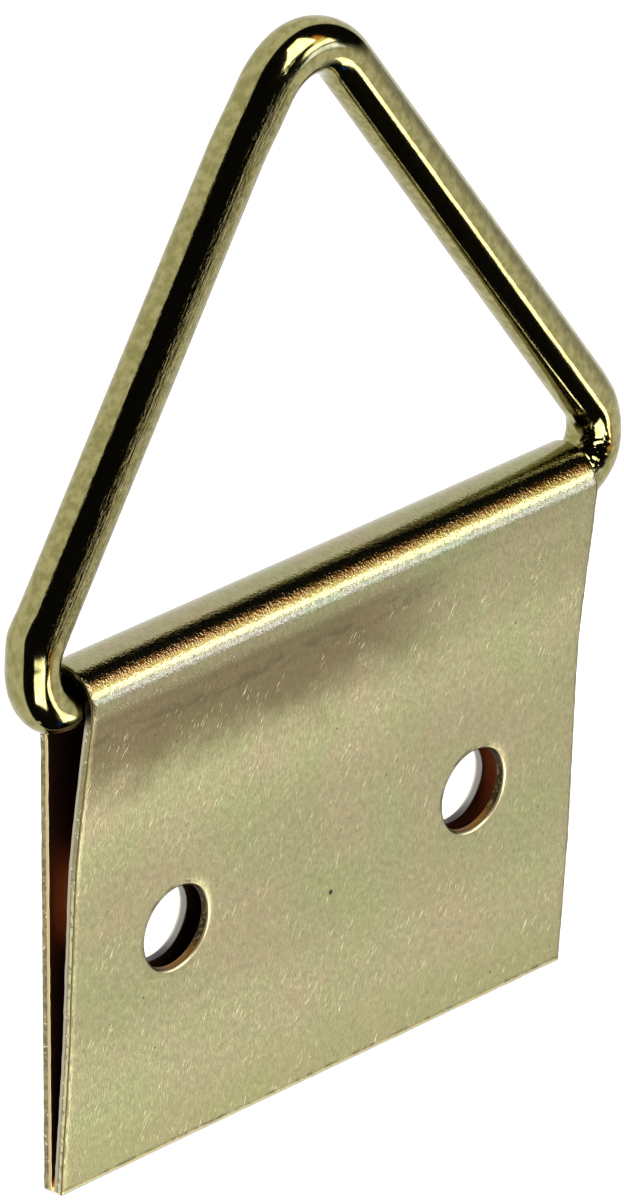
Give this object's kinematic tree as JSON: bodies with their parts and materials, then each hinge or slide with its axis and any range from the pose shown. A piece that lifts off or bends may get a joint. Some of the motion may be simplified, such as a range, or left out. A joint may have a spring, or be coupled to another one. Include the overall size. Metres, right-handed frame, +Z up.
{
  "type": "triangle-ring picture hanger",
  "caption": "Flat picture hanger: a plate of brass-plated sheet steel folded over the bar of a swinging triangular wire ring, with screw holes through both leaves.",
  "frame": {"origin": "midway between the two screw holes, on the back face of the rear leaf", "axes": "+Z up towards the apex of the ring, +Y out of the back face into what the hanger is screwed to, +X along the bar of the ring"},
  "size_m": [0.037, 0.004, 0.0492],
  "materials": {
    "plated_sheet": "brass-plated sheet steel, satin, lightly scratched",
    "plated_wire": "brass-plated steel wire, glossy, drawn"
  },
  "bodies": {
    "plate": {"hanger_plate": "plated_sheet"},
    "ring": {"triangle_ring": "plated_wire"}
  },
  "joints": [
    {"name": "ring_swing", "type": "hinge", "parent": "plate", "child": "ring", "pos_m": [0, -0.00138, 0.0126], "axis": [1, 0, 0], "range_deg": [-140, 150]}
  ]
}
